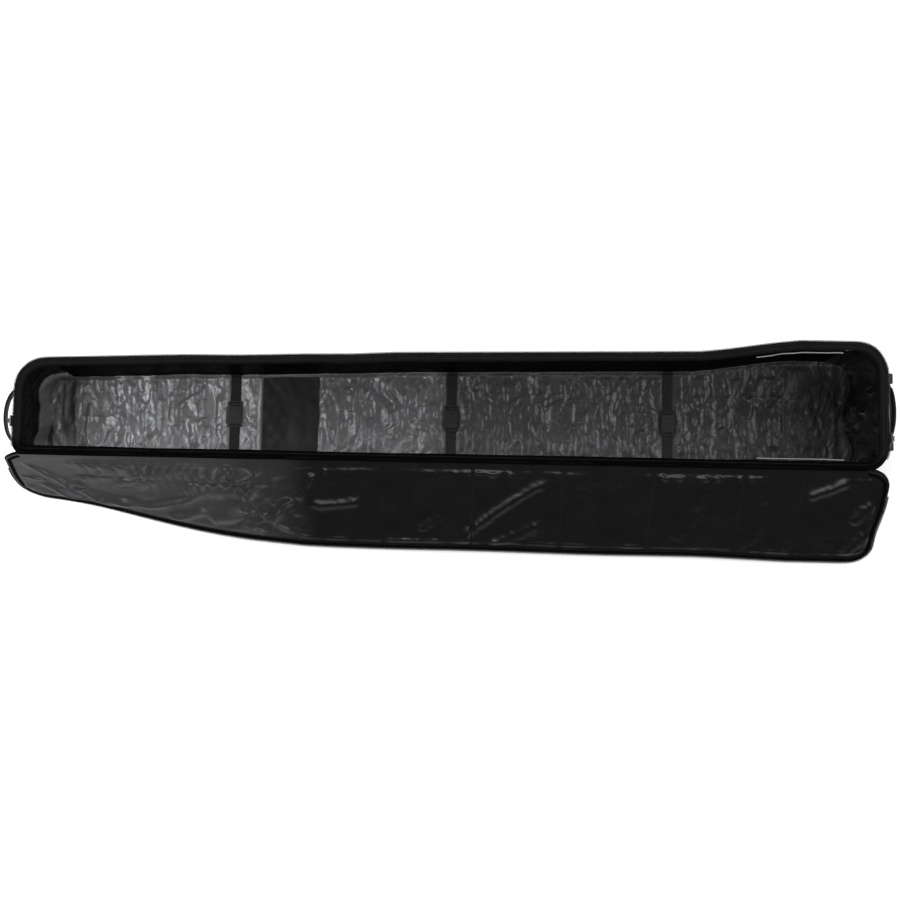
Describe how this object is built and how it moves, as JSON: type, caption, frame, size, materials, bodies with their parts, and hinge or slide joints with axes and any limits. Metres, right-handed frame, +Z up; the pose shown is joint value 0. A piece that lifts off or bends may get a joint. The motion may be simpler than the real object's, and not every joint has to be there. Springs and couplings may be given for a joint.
{
  "type": "padded ski bag",
  "caption": "Long padded ski bag lying open, with a hinged zip lid, lined tub, inner buckle straps and webbing handles.",
  "frame": {"origin": "on the floor, under the tub, half way along it and 135 mm behind the front wall's outer face", "axes": "+X along the bag towards the boot end, +Y from the hinge side to the back wall, +Z up"},
  "size_m": [2.2115, 0.5353, 0.208],
  "materials": {
    "outer_fabric": "matt black woven polyester, coated",
    "board": "plastic board",
    "piping": "black binding tape",
    "black_lining": "glossy coated black lining",
    "grey_lining": "silvery grey coated lining, crumpled",
    "label": "smooth matt black panel",
    "gloss_edging": "glossy clear edging",
    "zip_tape": "dark grey knitted zipper tape",
    "zip_teeth": "black nylon coil",
    "zip_metal": "dark nickel",
    "pull_rubber": "moulded pull",
    "webbing": "black polyester webbing",
    "buckle_plastic": "black acetal",
    "grip_wrap": "soft padded wrap",
    "foam": "closed-cell foam"
  },
  "bodies": {
    "tub": {"base_panel": "outer_fabric", "base_board": "board", "base_piping": "piping", "front_wall": "outer_fabric", "back_wall_nose": "outer_fabric", "back_wall_mid": "outer_fabric", "back_wall_boot": "outer_fabric", "back_wall_heel": "outer_fabric", "nose_wall": "outer_fabric", "boot_wall": "outer_fabric", "side_lining": "black_lining", "nose_lining": "grey_lining", "boot_lining": "black_lining", "floor_lining": "grey_lining", "label_panel": "label", "edge_strips": "gloss_edging", "rim_piping": "piping", "rim_tape": "zip_tape", "rim_teeth": "zip_teeth", "zip_stops": "zip_metal", "hinge_tape": "zip_tape", "strap_front_nose": "webbing", "strap_front_mid": "webbing", "strap_front_boot": "webbing", "strap_back_nose": "webbing", "strap_back_mid": "webbing", "strap_back_boot": "webbing", "buckle_socket_nose": "buckle_plastic", "buckle_socket_mid": "buckle_plastic", "buckle_socket_boot": "buckle_plastic", "lash_loops": "webbing", "nose_handle_patches": "webbing", "boot_handle_patches": "webbing", "back_handle_patches": "webbing", "front_handle_patches": "webbing"},
    "lid": {"lid_shell": "outer_fabric", "lid_gusset": "outer_fabric", "lid_foam": "foam", "lid_lining": "black_lining", "lid_binding": "piping", "lid_tape": "zip_tape", "lid_teeth": "zip_teeth", "lid_hinge_tape": "zip_tape"},
    "lid_nose": {"flap_shell": "outer_fabric", "flap_lining": "grey_lining", "flap_binding": "piping", "flap_tape": "zip_tape", "flap_teeth": "zip_teeth", "flap_hinge_tape": "zip_tape"},
    "plug_nose": {"buckle_plug_nose": "buckle_plastic"},
    "plug_mid": {"buckle_plug_mid": "buckle_plastic"},
    "plug_boot": {"buckle_plug_boot": "buckle_plastic"},
    "nose_grab": {"nose_handle": "webbing"},
    "boot_grab": {"boot_handle_webbing": "webbing", "boot_handle_grip": "grip_wrap"},
    "back_carry": {"back_handle": "webbing", "back_handle_grip": "grip_wrap"},
    "front_carry": {"front_handle": "webbing"},
    "zip_nose": {"slider_nose": "zip_metal"},
    "zip_boot": {"slider_boot": "zip_metal"},
    "tab_nose": {"pull_nose": "pull_rubber"},
    "tab_boot": {"pull_boot": "pull_rubber"}
  },
  "joints": [
    {"name": "lid_hinge", "type": "hinge", "parent": "tub", "child": "lid", "pos_m": [0, -0.135, 0.203], "axis": [-1, 0, 0], "range_deg": [0, 220.5]},
    {"name": "nose_fold", "type": "hinge", "parent": "lid", "child": "lid_nose", "pos_m": [-0.98, -0.135, 0.203], "axis": [-1, 0, 0], "range_deg": [0, 23.6]},
    {"name": "plug_nose_slide", "type": "slide", "parent": "tub", "child": "plug_nose", "axis": [0, 1, 0], "range_m": [0, 0.03]},
    {"name": "plug_mid_slide", "type": "slide", "parent": "tub", "child": "plug_mid", "axis": [0, 1, 0], "range_m": [0, 0.03]},
    {"name": "plug_boot_slide", "type": "slide", "parent": "tub", "child": "plug_boot", "axis": [0, 1, 0], "range_m": [0, 0.03]},
    {"name": "nose_handle_swing", "type": "hinge", "parent": "tub", "child": "nose_grab", "pos_m": [-1.07, -0.033, 0.1], "axis": [0, 1, 0], "range_deg": [-40, 55]},
    {"name": "boot_handle_swing", "type": "hinge", "parent": "tub", "child": "boot_grab", "pos_m": [1.07, 0.02, 0.1], "axis": [0, -1, 0], "range_deg": [-40, 55]},
    {"name": "back_handle_swing", "type": "hinge", "parent": "tub", "child": "back_carry", "pos_m": [0, 0.13424, 0.152], "axis": [1, 0, 0], "range_deg": [0, 150]},
    {"name": "front_handle_swing", "type": "hinge", "parent": "tub", "child": "front_carry", "pos_m": [0, -0.14, 0.152], "axis": [-1, 0, 0], "range_deg": [0, 50]},
    {"name": "zip_nose_slide", "type": "slide", "parent": "tub", "child": "zip_nose", "axis": [0, 1, 0], "range_m": [0, 0.06]},
    {"name": "zip_boot_slide", "type": "slide", "parent": "tub", "child": "zip_boot", "axis": [0, 1, 0], "range_m": [0, 0.12]},
    {"name": "tab_nose_swing", "type": "hinge", "parent": "zip_nose", "child": "tab_nose", "pos_m": [-1.0615, -0.057, 0.201], "axis": [0, 1, 0], "range_deg": [0, 170]},
    {"name": "tab_boot_swing", "type": "hinge", "parent": "zip_boot", "child": "tab_boot", "pos_m": [1.0615, -0.057, 0.201], "axis": [0, -1, 0], "range_deg": [0, 170]}
  ],
  "couplings": [
    {"joint": "nose_fold", "follows": "lid_hinge", "ratio": 0.10658}
  ]
}
